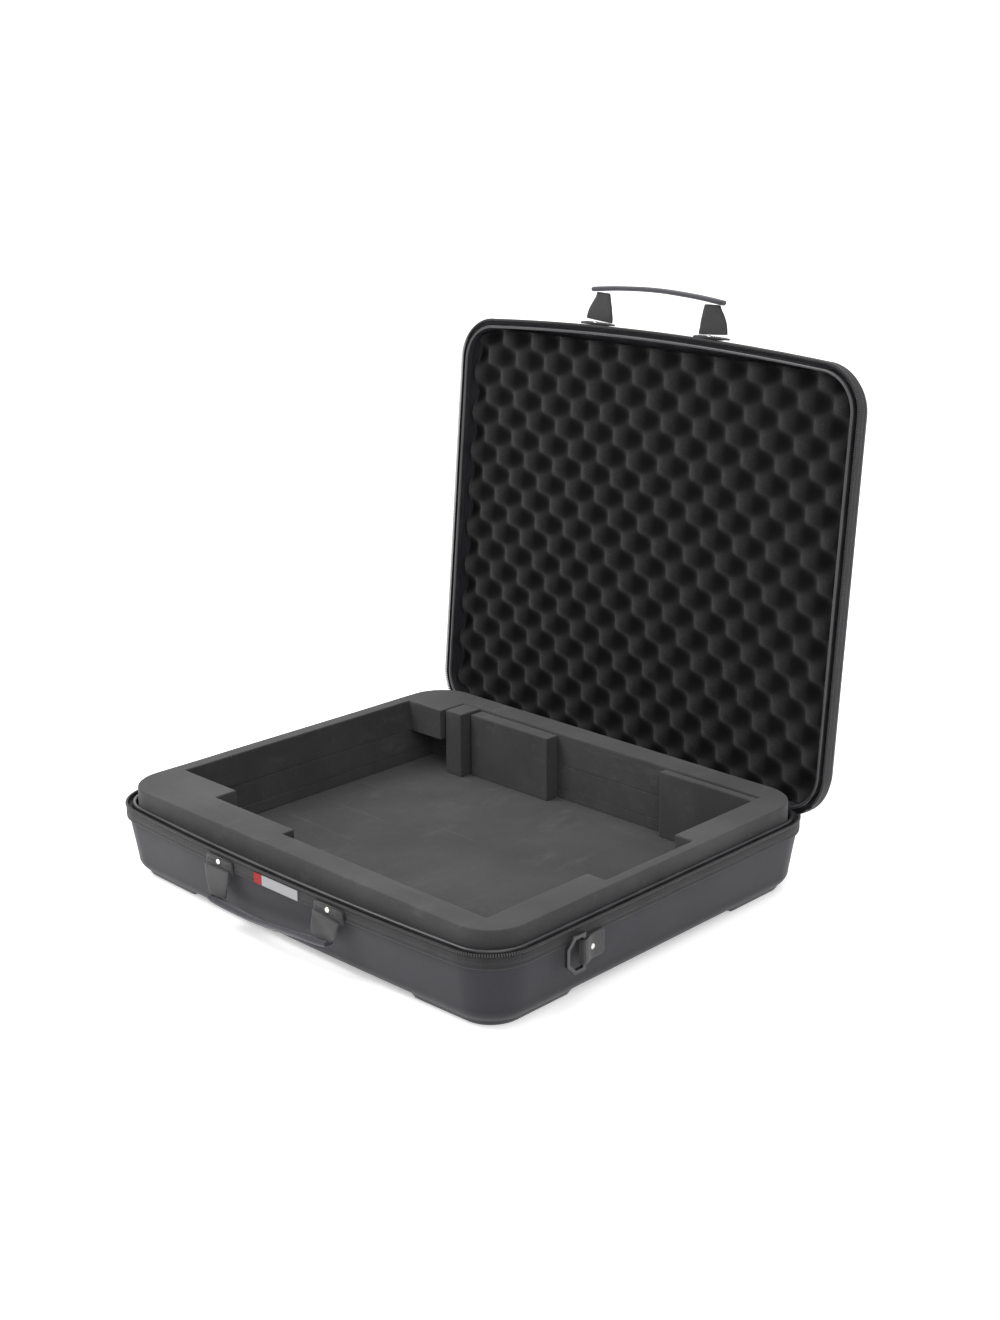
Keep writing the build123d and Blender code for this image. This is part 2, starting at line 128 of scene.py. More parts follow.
# ---- materials ----------------------------------------------------------------
class Nodes:
    """A Principled material and short calls to add nodes to it."""

    def __init__(self, name, color, roughness, specular=0.4):
        self.material = bpy.data.materials.new(name)
        self.material.use_nodes = True
        self.tree = self.material.node_tree
        self.shader = self.tree.nodes["Principled BSDF"]
        self.shader.inputs["Base Color"].default_value = (*color, 1)
        self.shader.inputs["Roughness"].default_value = roughness
        self.shader.inputs["Specular IOR Level"].default_value = specular
        self.material.diffuse_color = (*color, 1)

    def add(self, kind, **values):
        node = self.tree.nodes.new(kind)
        for key, value in values.items():
            if key in node.inputs:
                node.inputs[key].default_value = value
            else:
                setattr(node, key, value)
        return node

    def link(self, output, target):
        self.tree.links.new(output, target)

    def coords(self, kind="Object", scale=(1, 1, 1)):
        source = self.add("ShaderNodeTexCoord")
        mapping = self.add("ShaderNodeMapping")
        mapping.inputs["Scale"].default_value = scale
        self.link(source.outputs[kind], mapping.inputs["Vector"])
        return mapping.outputs["Vector"]

    def noise(self, vector, scale, detail=4.0, roughness=0.55):
        node = self.add("ShaderNodeTexNoise")
        node.inputs["Scale"].default_value = scale
        node.inputs["Detail"].default_value = detail
        node.inputs["Roughness"].default_value = roughness
        self.link(vector, node.inputs["Vector"])
        return node.outputs["Fac"]

    def ramp(self, value, stops):
        node = self.add("ShaderNodeValToRGB")
        ramp = node.color_ramp
        while len(ramp.elements) < len(stops):
            ramp.elements.new(0.5)
        for element, (place, color) in zip(ramp.elements, stops):
            element.position = place
            element.color = (*color, 1)
        self.link(value, node.inputs["Fac"])
        return node.outputs["Color"]

    def mix(self, factor, first, second, blend="MIX"):
        node = self.add("ShaderNodeMix", data_type="RGBA", blend_type=blend)
        if hasattr(factor, "links"):
            self.link(factor, node.inputs["Factor"])
        else:
            node.inputs["Factor"].default_value = factor
        for socket, value in (("A", first), ("B", second)):
            target = [s for s in node.inputs if s.name == socket and s.type == "RGBA"][0]
            if hasattr(value, "links"):
                self.link(value, target)
            else:
                target.default_value = (*value, 1)
        return [s for s in node.outputs if s.type == "RGBA"][0]

    def math(self, operation, first, second=0.0):
        node = self.add("ShaderNodeMath", operation=operation)
        for socket, value in zip(node.inputs, (first, second)):
            if hasattr(value, "links"):
                self.link(value, socket)
            else:
                socket.default_value = value
        return node.outputs[0]

    def wave(self, vector, scale, direction, distortion=0.0):
        node = self.add("ShaderNodeTexWave", bands_direction=direction)
        node.inputs["Scale"].default_value = scale
        node.inputs["Distortion"].default_value = distortion
        node.inputs["Detail"].default_value = 0.0
        self.link(vector, node.inputs["Vector"])
        return node.outputs["Fac"]

    def bump(self, height, strength, distance):
        node = self.add("ShaderNodeBump")
        node.inputs["Strength"].default_value = strength
        node.inputs["Distance"].default_value = distance
        self.link(height, node.inputs["Height"])
        previous = self.shader.inputs["Normal"].links
        if previous:
            self.link(previous[0].from_socket, node.inputs["Normal"])
        self.link(node.outputs["Normal"], self.shader.inputs["Normal"])

    def color(self, socket):
        self.link(socket, self.shader.inputs["Base Color"])

    def roughness(self, socket):
        self.link(socket, self.shader.inputs["Roughness"])

    def sheen(self, weight, roughness=0.5):
        self.shader.inputs["Sheen Weight"].default_value = weight
        self.shader.inputs["Sheen Roughness"].default_value = roughness


def shell_cloth():
    """Fine-woven cloth laminated to moulded board: faint violet black."""
    m = Nodes("shell_cloth", (0.017, 0.0155, 0.022), 0.72, 0.3)
    where = m.coords()
    broad = m.noise(where, 18.0, 5.0)
    fine = m.noise(where, 900.0, 2.0)
    tone = m.ramp(broad, [(0.3, (0.0080, 0.0074, 0.0108)), (0.7, (0.0140, 0.0128, 0.0180))])
    grain = m.ramp(fine, [(0.35, (0.8, 0.8, 0.8)), (0.7, (1.25, 1.25, 1.25))])
    m.color(m.mix(1.0, tone, grain, "MULTIPLY"))
    rough = m.ramp(broad, [(0.3, (0.62,) * 3), (0.7, (0.8,) * 3)])
    m.roughness(rough)
    m.bump(m.noise(where, 1400.0, 2.0), 0.35, 0.0003)
    m.bump(m.noise(where, 30.0, 3.0), 0.12, 0.002)
    m.sheen(0.12)
    return m.material


def woven(name, dark, light, rib, roughness=0.7, sheen=0.1, bump=0.5):
    """Webbing or tape: ribs across its length, in metres of its own UV map."""
    m = Nodes(name, light, roughness, 0.3)
    where = m.coords("UV", (1, 1, 1))
    across = m.wave(where, 1.0 / rib / 6.2832 * 3.1416, "X")
    along = m.wave(where, 1.0 / rib / 6.2832 * 3.1416, "Y")
    weave = m.math("MULTIPLY", across, along)
    spots = m.noise(m.coords(), 60.0, 4.0)
    tone = m.mix(weave, dark, light)
    worn = m.ramp(spots, [(0.35, (0.75, 0.75, 0.75)), (0.7, (1.25, 1.25, 1.25))])
    m.color(m.mix(1.0, tone, worn, "MULTIPLY"))
    m.bump(weave, bump, rib * 0.5)
    m.sheen(sheen)
    return m.material


def binding_cloth():
    """Satin edge binding that catches a soft line of light."""
    m = Nodes("edge_binding", (0.02, 0.02, 0.022), 0.34, 0.55)
    where = m.coords()
    patches = m.noise(where, 45.0, 4.0)
    m.color(m.ramp(patches, [(0.3, (0.016, 0.016, 0.018)), (0.75, (0.034, 0.033, 0.036))]))
    m.roughness(m.ramp(patches, [(0.3, (0.28,) * 3), (0.75, (0.44,) * 3)]))
    m.bump(m.noise(where, 1200.0, 2.0), 0.15, 0.0002)
    return m.material


def cut_foam():
    """Closed-cell foam: charcoal with pale scuffs, saw streaks and fine cells."""
    m = Nodes("cut_foam", (0.035, 0.034, 0.036), 0.88, 0.22)
    where = m.coords()
    cloudy = m.noise(where, 9.0, 6.0, 0.62)
    streaks = m.noise(m.coords("Object", (4, 60, 30)), 2.2, 6.0, 0.6)
    rubs = m.noise(m.coords("Object", (26, 9, 30)), 1.6, 8.0, 0.7)
    cells = m.noise(where, 1600.0, 2.0)
    base = m.ramp(cloudy, [(0.28, (0.021, 0.0205, 0.022)), (0.5, (0.031, 0.0305, 0.032)),
                           (0.74, (0.045, 0.0445, 0.046))])
    scuff = m.ramp(rubs, [(0.56, (0, 0, 0)), (0.78, (0.55, 0.55, 0.55))])
    base = m.mix(scuff, base, (0.075, 0.074, 0.076))
    fine = m.ramp(streaks, [(0.62, (0, 0, 0)), (0.7, (0.4, 0.4, 0.4))])
    base = m.mix(fine, base, (0.062, 0.061, 0.063))
    speck = m.ramp(cells, [(0.3, (0.72, 0.72, 0.72)), (0.7, (1.22, 1.22, 1.22))])
    m.color(m.mix(1.0, base, speck, "MULTIPLY"))
    m.bump(cells, 0.35, 0.0003)
    m.bump(m.noise(where, 40.0, 4.0), 0.25, 0.0012)
    m.sheen(0.15)
    return m.material


def open_foam():
    """Convoluted open-cell foam: grainy, with painted shade that darkens the pits."""
    m = Nodes("convoluted_foam", (0.022, 0.022, 0.022), 0.95, 0.12)
    where = m.coords()
    # Painted shade: the height attribute paints the pits near black and the peaks lighter, standing in for
    # the shade in the hollows.
    height = m.add("ShaderNodeAttribute", attribute_name="height").outputs["Fac"]
    tone = m.ramp(height, [(0.0, (0.0004, 0.0004, 0.0004)), (0.45, (0.0025, 0.0025, 0.0026)),
                           (1.0, (0.0135, 0.0135, 0.0138))])
    grains = m.noise(where, 700.0, 3.0, 0.7)
    speck = m.ramp(grains, [(0.32, (0.55, 0.55, 0.55)), (0.68, (1.5, 1.5, 1.5))])
    m.color(m.mix(1.0, tone, speck, "MULTIPLY"))
    m.bump(grains, 0.6, 0.0007)
    m.sheen(0.1)
    return m.material


def plastic(name, color, roughness):
    m = Nodes(name, color, roughness, 0.5)
    where = m.coords()
    patches = m.noise(where, 220.0, 4.0)
    m.roughness(m.ramp(patches, [(0.3, (roughness * 0.8,) * 3), (0.75, (roughness * 1.25,) * 3)]))
    m.color(m.ramp(patches, [(0.3, tuple(c * 0.85 for c in color)), (0.75, tuple(c * 1.2 for c in color))]))
    m.bump(m.noise(where, 900.0, 3.0), 0.1, 0.0002)
    return m.material


def metal(name, color, roughness):
    m = Nodes(name, color, roughness, 0.5)
    m.shader.inputs["Metallic"].default_value = 1.0
    where = m.coords()
    wear = m.noise(where, 500.0, 4.0)
    m.roughness(m.ramp(wear, [(0.3, (roughness * 0.7,) * 3), (0.75, (roughness * 1.5,) * 3)]))
    m.color(m.ramp(wear, [(0.3, tuple(c * 0.8 for c in color)), (0.75, color)]))
    return m.material


def label_cloth():
    """Plain woven label: pale, with one red end."""
    m = Nodes("label_cloth", (0.55, 0.54, 0.53), 0.7, 0.3)
    split = m.add("ShaderNodeSeparateXYZ")
    m.link(m.coords(), split.inputs[0])
    red = m.math("LESS_THAN", split.outputs["X"], -0.0145)
    ribs = m.wave(m.coords("Object", (1, 1, 1)), 700.0, "Z")
    tone = m.mix(red, (0.30, 0.30, 0.31), (0.28, 0.012, 0.014))
    # Darker along the grooves between the ribs, lighter on the ribs.
    rib_groove_tone = m.ramp(ribs, [(0.2, (0.75, 0.75, 0.75)), (0.8, (1.0, 1.0, 1.0))])
    m.color(m.mix(1.0, tone, rib_groove_tone, "MULTIPLY"))
    m.bump(ribs, 0.3, 0.0003)
    return m.material


MATERIALS = {
    "shell_cloth": shell_cloth(),
    "zip_tape": woven("zip_tape", (0.007, 0.007, 0.008), (0.019, 0.018, 0.022), 0.0011),
    "zip_teeth": plastic("zip_teeth", (0.019, 0.018, 0.018), 0.36),
    "edge_binding": binding_cloth(),
    "eva_foam": cut_foam(),
    "convoluted_foam": open_foam(),
    "webbing": woven("webbing", (0.008, 0.008, 0.009), (0.026, 0.025, 0.029), 0.0016, 0.66, 0.2, 0.7),
    "grip_cover": woven("grip_cover", (0.014, 0.012, 0.018), (0.032, 0.028, 0.042), 0.0010, 0.6, 0.25, 0.4),
    "rivet_metal": metal("rivet_metal", (0.72, 0.70, 0.66), 0.24),
    "ring_plastic": plastic("ring_plastic", (0.013, 0.013, 0.014), 0.32),
    "slider_metal": plastic("slider_metal", (0.03, 0.03, 0.031), 0.28),
    "label_cloth": label_cloth(),
    "thread": woven("thread", (0.012, 0.012, 0.013), (0.04, 0.038, 0.042), 0.0004, 0.6, 0.1, 0.3),
}


# ---- mesh tools -----------------------------------------------------------------
def make_object(name, verts, faces, slot, uvs=None):
    """Mesh object with its material slot; uvs holds one pair for each face corner."""
    mesh = bpy.data.meshes.new(name)
    mesh.from_pydata([tuple(v) for v in verts], [], faces)
    if uvs:
        layer = mesh.uv_layers.new(name="UVMap")
        for loop, uv in zip(layer.data, uvs):
            loop.uv = uv
    mesh.validate()
    mesh.shade_smooth()
    obj = bpy.data.objects.new(name, mesh)
    bpy.context.scene.collection.objects.link(obj)
    obj.data.materials.append(MATERIALS[slot])
    return obj


def recalc_normals(obj):
    bm = bmesh.new()
    bm.from_mesh(obj.data)
    bmesh.ops.recalc_face_normals(bm, faces=bm.faces)
    bm.to_mesh(obj.data)
    bm.free()


def subdivide(obj, levels=1):
    modifier = obj.modifiers.new("subdivision", "SUBSURF")
    modifier.levels = levels
    modifier.render_levels = levels


def finish_piece(obj, body, *nodes):
    recalc_normals(obj)
    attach(obj, body)
    if nodes:
        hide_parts(*nodes)


def grid(name, rows, slot, close_rows=False, close_columns=True, cap_ends=False):
    """Surface through rows of points; each row may close on itself.

    UVs run in metres, along a row and across the rows.
    """
    count = len(rows[0])
    verts = [point for row in rows for point in row]
    along = [0.0]
    middle = rows[len(rows) // 2]
    for i in range(1, count + 1):
        along.append(along[-1] + (middle[i % count] - middle[i - 1]).length)
    across = [0.0]
    for j in range(1, len(rows) + 1):
        gap = (rows[j % len(rows)][count // 3] - rows[j - 1][count // 3]).length
        across.append(across[-1] + gap)
    faces, uvs = [], []
    for j in range(len(rows) if close_rows else len(rows) - 1):
        for i in range(count if close_columns else count - 1):
            k, n = (j + 1) % len(rows), (i + 1) % count
            faces.append((j * count + i, j * count + n, k * count + n, k * count + i))
            for u, v in ((i, j), (i + 1, j), (i + 1, j + 1), (i, j + 1)):
                uvs.append((along[u], across[v]))
    if cap_ends:
        for row in (0, len(rows) - 1):
            faces.append(tuple(row * count + i for i in range(count)))
            uvs += [(along[i], across[row]) for i in range(count)]
    return make_object(name, verts, faces, slot, uvs)


def outline(inset, radius, bow=FRONT_BOW, straight=46, turn=18):
    """Plan outline as (x, y) points, anticlockwise from the middle of the back."""
    half_x, half_y = HALF_WIDTH - inset, HALF_DEPTH - inset
    span_x, span_y = half_x - radius, half_y - radius
    points = []

    def run(start, end, count, swell=0.0):
        for i in range(count):
            t = i / count
            points.append((start[0] + (end[0] - start[0]) * t,
                           start[1] + (end[1] - start[1]) * t - swell * 4 * t * (1 - t)))

    def arc(cx, cy, first):
        for i in range(turn):
            angle = math.radians(first + 90 * i / turn)
            points.append((cx + radius * math.cos(angle), cy + radius * math.sin(angle)))

    run((0, half_y), (-span_x, half_y), straight)
    arc(-span_x, span_y, 90)
    run((-half_x, span_y), (-half_x, -span_y), straight * 2)
    arc(-span_x, -span_y, 180)
    run((-span_x, -half_y), (span_x, -half_y), straight * 2, bow)
    arc(span_x, -span_y, 270)
    run((half_x, -span_y), (half_x, span_y), straight * 2)
    arc(span_x, span_y, 0)
    run((span_x, half_y), (0, half_y), straight)
    return points


def rim_line(inset, end_angle):
    """Points of the outline at inset, from one zip end round the front to the other."""
    radius = CORNER - inset
    limit = HALF_DEPTH - CORNER + radius * math.sin(math.radians(end_angle))
    points = outline(inset, radius)
    return [point for point in points if point[1] <= limit]


def back_line(inset, end_angle):
    """The rest of the outline, along the hinge, from right to left."""
    radius = CORNER - inset
    limit = HALF_DEPTH - CORNER + radius * math.sin(math.radians(end_angle))
    points = outline(inset, radius)
    back = [point for point in points if point[1] >= limit]
    return sorted(back, key=lambda point: -point[0])


def band(name, place, profile, slot, line=None):
    """Sweeps a closed profile of (inset, drop) points round the rim, or along an open line."""
    rows = []
    for inset, drop in profile:
        if line:
            plan = line(inset)
        else:
            plan = outline(inset, CORNER - inset)
        rows.append([place(x, y, drop) for x, y in plan])
    if not line:
        return grid(name, rows, slot, close_rows=True)
    count = min(len(row) for row in rows)
    rows = [row[:count] for row in rows]
    columns = [[row[i] for row in rows] for i in range(count)]
    return grid(name, columns, slot, cap_ends=True)


def resample(points, pitch):
    """Points at equal steps along an open line, each with its direction."""
    lengths = [0.0]
    for a, b in zip(points, points[1:]):
        lengths.append(lengths[-1] + math.dist(a, b))
    steps = int(lengths[-1] / pitch)
    result, i = [], 0
    for step in range(steps + 1):
        goal = pitch * step
        while i < len(points) - 2 and lengths[i + 1] < goal:
            i += 1
        t = (goal - lengths[i]) / (lengths[i + 1] - lengths[i])
        a, b = points[i], points[i + 1]
        result.append(((a[0] + (b[0] - a[0]) * t, a[1] + (b[1] - a[1]) * t),
                       math.atan2(b[1] - a[1], b[0] - a[0])))
    return result


def bead_chain(name, place, line, pitch, size, drop, slot, slant=0.0):
    """Row of small rounded blocks along a line: zip teeth or stitches."""
    half_long, half_wide, half_tall = (value / 2 for value in size)
    ends = ((-1.0, 0.45), (-0.55, 1.0), (0.55, 1.0), (1.0, 0.45))
    corners = ((1, 0.45), (0.45, 1), (-0.45, 1), (-1, 0.45), (-1, -0.45), (-0.45, -1), (0.45, -1), (1, -0.45))
    verts, faces = [], []
    for (x, y), angle in resample(line, pitch):
        start = len(verts)
        angle += slant
        cos, sin = math.cos(angle), math.sin(angle)
        for reach, swell in ends:
            for wide, tall in corners:
                a = reach * half_long
                b = wide * half_wide * swell
                level = drop + tall * half_tall * swell
                verts.append(place(x + a * cos - b * sin, y + a * sin + b * cos, level))
        for ring in range(len(ends) - 1):
            for i in range(8):
                j = (i + 1) % 8
                faces.append((start + ring * 8 + i, start + ring * 8 + j,
                              start + ring * 8 + 8 + j, start + ring * 8 + 8 + i))
        faces.append(tuple(start + i for i in range(8)))
        faces.append(tuple(start + 24 + i for i in range(8)))
    return make_object(name, verts, faces, slot)


def smooth_path(points, per_span=8):
    """Catmull-Rom line through tuples of numbers."""
    result = []
    last = len(points) - 1
    for i in range(last):
        p0, p1, p2, p3 = (points[max(i - 1, 0)], points[i], points[i + 1], points[min(i + 2, last)])
        for step in range(per_span):
            t = step / per_span
            result.append(tuple(
                0.5 * (2 * b + (c - a) * t + (2 * a - 5 * b + 4 * c - d) * t * t
                       + (3 * b - a - 3 * c + d) * t ** 3)
                for a, b, c, d in zip(p0, p1, p2, p3)))
    result.append(tuple(points[-1]))
    return result


def strap(name, place, stations, thickness, slot, per_span=8, crown=1.0):
    """Flat strap through stations of (x, y, drop, across x, y, drop, width)."""
    path = smooth_path([tuple(station) for station in stations], per_span)
    centres = [place(*station[:3]) for station in path]
    origin = place(0, 0, 0)
    rows = []
    for i, station in enumerate(path):
        before, after = centres[max(i - 1, 0)], centres[min(i + 1, len(path) - 1)]
        tangent = (after - before).normalized()
        across = (place(*station[3:6]) - origin).normalized()
        across = (across - tangent * across.dot(tangent)).normalized()
        normal = tangent.cross(across)
        half, thick = station[6] / 2 * MM, thickness / 2 * MM
        edge = min(thick * 0.8, half * 0.4)
        shape = [(-half, 0.35), (-half + edge, 0.92), (-half * 0.5, crown), (0, crown), (half * 0.5, crown),
                 (half - edge, 0.92), (half, 0.35)]
        row = [centres[i] + across * u + normal * (v * thick) for u, v in shape]
        row += [centres[i] + across * u - normal * (v * thick) for u, v in reversed(shape)]
        rows.append(row)
    return grid(name, rows, slot, cap_ends=True)


# ---- shells ---------------------------------------------------------------------
def pad_mask(x, y, inset_line):
    """1 on the plateau of the nearest corner pad, 0 away from it."""
    centre_x, centre_y = HALF_WIDTH - inset_line, HALF_DEPTH - inset_line
    dx = abs(centre_x - abs(x)) - (PAD_LENGTH - 26.0)
    dy = abs(centre_y - abs(y)) - (PAD_LENGTH - 26.0)
    outside = math.hypot(max(dx, 0), max(dy, 0)) + min(max(dx, dy), 0) - 26.0
    return 1.0 - smoothstep(-2.5, 1.5, outside)


def shell(name, place, depth):
    """Moulded half: rolled top edge, drafted wall, rounded edge, flat and corner pads."""
    wall_depth = depth - EDGE_ROUND
    edge_inset = SHELL_INSET + (wall_depth - SHELL_TOP) * DRAFT
    outer = []
    wall_steps = 10
    for step in range(wall_steps + 1):
        t = step / wall_steps
        outer.append((SHELL_INSET + t * (edge_inset - SHELL_INSET),
                      SHELL_TOP + t * (wall_depth - SHELL_TOP)))
    outer.insert(1, (SHELL_INSET + 0.02, SHELL_TOP + 0.5))
    for step in range(1, 13):
        angle = math.radians(90 * step / 12)
        outer.append((edge_inset + EDGE_ROUND * (1 - math.cos(angle)),
                      wall_depth + EDGE_ROUND * math.sin(angle)))
    inset = edge_inset + EDGE_ROUND
    while inset < edge_inset + EDGE_ROUND + 96:
        inset += 3.2
        outer.append((inset, depth))
    while inset < 196:
        inset += 12.0
        outer.append((inset, depth))
    pad_line = edge_inset + EDGE_ROUND * 0.5
    rows = []
    for inset, drop in outer:
        bow = max(FRONT_BOW - (drop - SHELL_TOP) * BOW_EASE, 0.0)
        fade = smoothstep(150, 60, inset) if inset > 60 else 1.0
        plan = outline(inset, max(CORNER - inset * 0.92, 3.0), bow * fade)
        row = []
        for x, y in plan:
            rise = smoothstep(pad_line - 0.5, pad_line + 4.0, inset) * pad_mask(x, y, pad_line)
            row.append(place(x, y, drop + FOOT_HEIGHT * rise))
        rows.append(row)
    inner = [(edge_inset + EDGE_ROUND + 8, depth - WALL), (edge_inset + EDGE_ROUND - 2, depth - WALL)]
    for step in range(5, -1, -1):
        angle = math.radians(90 * step / 6)
        inner.append((edge_inset + WALL + (EDGE_ROUND - WALL) * (1 - math.cos(angle)),
                      wall_depth + (EDGE_ROUND - WALL) * math.sin(angle)))
    inner += [(SHELL_INSET + WALL + 0.1, SHELL_TOP + 1.0), (SHELL_INSET + WALL, SHELL_TOP + 0.3),
              (SHELL_INSET + WALL - 0.7, SHELL_TOP), (SHELL_INSET + 0.7, SHELL_TOP)]
    inner_rows = []
    for inset, drop in inner:
        bow = max(FRONT_BOW - (drop - SHELL_TOP) * BOW_EASE, 0.0)
        plan = outline(inset, max(CORNER - inset * 0.92, 3.0), bow)
        inner_rows.append([place(x, y, drop) for x, y in plan])
    lining_middle = [place(x, y, depth - WALL) for x, y in outline(190, 3.0, 0)]
    rows = rows[::-1] + inner_rows[::-1] + [lining_middle]
    return grid(name, rows, "shell_cloth", cap_ends=True)


def binding_profile():
    """Rounded section of the bound inner edge."""
    middle, half, top, low = 8.0, 1.7, 0.5, 8.0
    profile = []
    for step in range(9):
        angle = math.pi * step / 8
        profile.append((middle - half * math.cos(angle), top + half - half * math.sin(angle)))
    profile += [(middle + half, 4.5), (middle + half - 0.35, 5.2), (middle + half, 5.9), (middle + half, low),
                (middle - half, low), (middle - half, 5.9), (middle - half + 0.3, 5.2), (middle - half, 4.5)]
    return profile


def tape_profile():
    """Section of the zip tape, with the groove of its outer stitch row."""
    return [(0.5, 13.8), (0.42, 12.0), (0.62, 11.4), (0.42, 10.8), (0.45, 7.0), (0.6, 4.6),
            (0.9, 3.4), (1.3, 3.4), (1.5, 4.6), (1.5, 13.8), (1.2, 14.1), (0.8, 14.1)]


def half_case(prefix, place, depth, body):
    """Shell, binding, zip tape, teeth and stitching of one half."""
    shell_piece = shell(f"{prefix}_moulding", place, depth)
    finish_piece(shell_piece, body, f"{prefix}_shell")

    binding = band(f"{prefix}_binding", place, binding_profile(), "edge_binding")
    subdivide(binding)
    finish_piece(binding, body, f"{prefix}_rim_lip")

    tape = band(f"{prefix}_tape", place, tape_profile(), "zip_tape", lambda inset: rim_line(inset, ZIP_END))
    finish_piece(tape, body, f"{prefix}_zip_tape")

    teeth = bead_chain(f"{prefix}_teeth", place, rim_line(1.0, TEETH_END), 2.1,
                       (1.5, 2.7, 2.7), 2.15, "zip_teeth")
    finish_piece(teeth, body, f"{prefix}_zip_teeth")

    for row, (inset, drop) in enumerate(((0.45, 11.4), (0.45, 7.6))):
        stitches = bead_chain(f"{prefix}_tape_stitches_{row + 1}", place, rim_line(inset, ZIP_END), 3.4,
                              (2.3, 0.45, 0.5), drop, "thread")
        finish_piece(stitches, body)


half_case("base", base_place, BASE_DEPTH, "base")
half_case("lid", lid_place, LID_DEPTH, "lid")


# ---- hinge ------------------------------------------------------------------------
def hinge_band(name, place, top, body, node):
    profile = [(0.5, 13.9), (0.45, 8.0), (0.5, top), (0.9, top - 0.2), (1.4, top), (1.5, 8.0), (1.5, 13.9)]
    piece = band(name, place, profile, "zip_tape", lambda inset: back_line(inset, ZIP_END + 1))
    finish_piece(piece, body, node)


hinge_band("hinge_band_base", base_place, 5.8, "base", "hinge_strip_lower")
hinge_band("hinge_band_lid", lid_place, 0.9, "lid", "hinge_strip_upper")


def hinge_fold():
    """Cloth that crosses from one band to the other and folds between them."""
    half_length = 206.0
    path = [(6.5, -6.0), (6.5, -4.2), (6.7, -3.2), (7.1, -2.8), (7.5, -3.2), (7.8, -4.2), (7.9, -6.9)]
    stations = [(0, AXIS_Y + y, RIM_Z - AXIS_Z - z, 1, 0, 0, half_length * 2) for y, z in path]
    piece = strap("hinge_fold", base_place, stations, 0.7, "zip_tape", 4)
    recalc_normals(piece)
    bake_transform(piece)


hinge_fold()


# ---- base foam ------------------------------------------------------------------------
POCKET = [(-227, -141), (-150, -141), (-150, -164), (-38, -164), (-38, -177), (211, -177),
          (211, -60), (231, -60), (231, 52), (211, 52), (211, 174)]
PLAIN_CORNER = [(-227, 174)]
BLOCK_CORNER = [(-179, 174), (-179, 141), (-227, 141)]


def subdivided(loop, step):
    """Adds points along the straight runs of a closed plan line."""
    result = []
    for a, b in zip(loop, loop[1:] + loop[:1]):
        count = max(1, int(math.dist(a, b) / step))
        for i in range(count):
            t = i / count
            result.append((a[0] + (b[0] - a[0]) * t, a[1] + (b[1] - a[1]) * t))
    return result


def waver(x, y, z, amount, seed):
    """Small deterministic offset, so that hand-cut foam isn't dead straight."""
    where = Vector((x, y, z)) * 0.018 + Vector((seed, 0, 0))
    return noise.noise_vector(where) * amount


def cut_slab(name, outer, hole, low, high, body, nodes, edge=1.3, seed=0.0, amount=0.45, edge_top=None):
    """Cut sheet of foam between two heights, with softened edges."""
    bm = bmesh.new()
    loops = [outer] + ([hole] if hole else [])
    edges = []
    for loop in loops:
        verts = [bm.verts.new((x, y, high)) for x, y in loop]
        edges += [bm.edges.new((verts[i], verts[(i + 1) % len(verts)])) for i in range(len(verts))]
    result = bmesh.ops.triangle_fill(bm, use_beauty=True, use_dissolve=False, edges=edges)
    top = [item for item in result["geom"] if isinstance(item, bmesh.types.BMFace)]
    extruded = bmesh.ops.extrude_face_region(bm, geom=top)
    moved = [item for item in extruded["geom"] if isinstance(item, bmesh.types.BMVert)]
    for vert in moved:
        vert.co.z = low
    bmesh.ops.recalc_face_normals(bm, faces=bm.faces)
    sharp = [e for e in bm.edges if len(e.link_faces) == 2 and e.calc_face_angle() > math.radians(35)]
    bmesh.ops.bevel(bm, geom=sharp, offset=edge, segments=3, profile=0.6, affect="EDGES", clamp_overlap=True)
    for vert in bm.verts:
        x, y, z = vert.co
        offset = waver(x, y, z, amount, seed)
        offset.z *= 0.35
        vert.co = base_place(x + offset.x, y + offset.y, RIM_Z - z - offset.z)
    mesh = bpy.data.meshes.new(name)
    bm.to_mesh(mesh)
    bm.free()
    mesh.shade_smooth()
    obj = bpy.data.objects.new(name, mesh)
    bpy.context.scene.collection.objects.link(obj)
    mesh.materials.append(MATERIALS["eva_foam"])
    flatten = obj.modifiers.new("flat_faces", "WEIGHTED_NORMAL")
    flatten.keep_sharp = True
    finish_piece(obj, body, *nodes)
    return obj


def foam_outline(inset):
    return subdivided(outline(inset, max(34.0, CORNER - inset * 0.7), 0, 14, 8), 40.0)


def rectangle(x0, y0, x1, y1):
    return subdivided([(x0, y0), (x1, y0), (x1, y1), (x0, y1)], 24.0)


lower, middle, upper, top = LAYER_HEIGHTS
plain_hole = subdivided(POCKET + PLAIN_CORNER, 22.0)
block_hole = subdivided(POCKET + BLOCK_CORNER, 22.0)
cut_slab("pocket_floor", foam_outline(19.0), None, FLOOR_Z, 16.7, "base", ["floor_pad"], 2.0, 1.0, 0.2)
cut_slab("foam_sheet_low", foam_outline(13.8), plain_hole, lower, middle - 0.1, "base",
         ["foam_layer_lower"], 0.9, 2.0)
cut_slab("foam_sheet_mid", foam_outline(11.9), plain_hole, middle, upper - 0.1, "base",
         ["foam_layer_middle"], 0.9, 3.0)
cut_slab("foam_sheet_top", foam_outline(FOAM_INSET), block_hole, upper, top, "base",
         ["foam_layer_upper"], 1.5, 4.0)
floor_top = lower - 0.1
for piece_name, node, plan, height, seed in (
        ("standing_post", "corner_post", (-177, 146, -154, 173.7), top, 5.0),
        ("rear_wall_pad", "back_wall_pad", (-152, 158, -43, 173.7), top - 2, 6.0),
        ("rear_right_block", "back_right_block", (98, 165, 210.6, 173.7), top - 2, 7.0),
        ("front_wall_strip", "front_strip", (102, -176.7, 210.6, -169), top - 6, 8.0)):
    cut_slab(piece_name, rectangle(*plan), None, floor_top, height, "base", [node], 1.4, seed, 0.3)


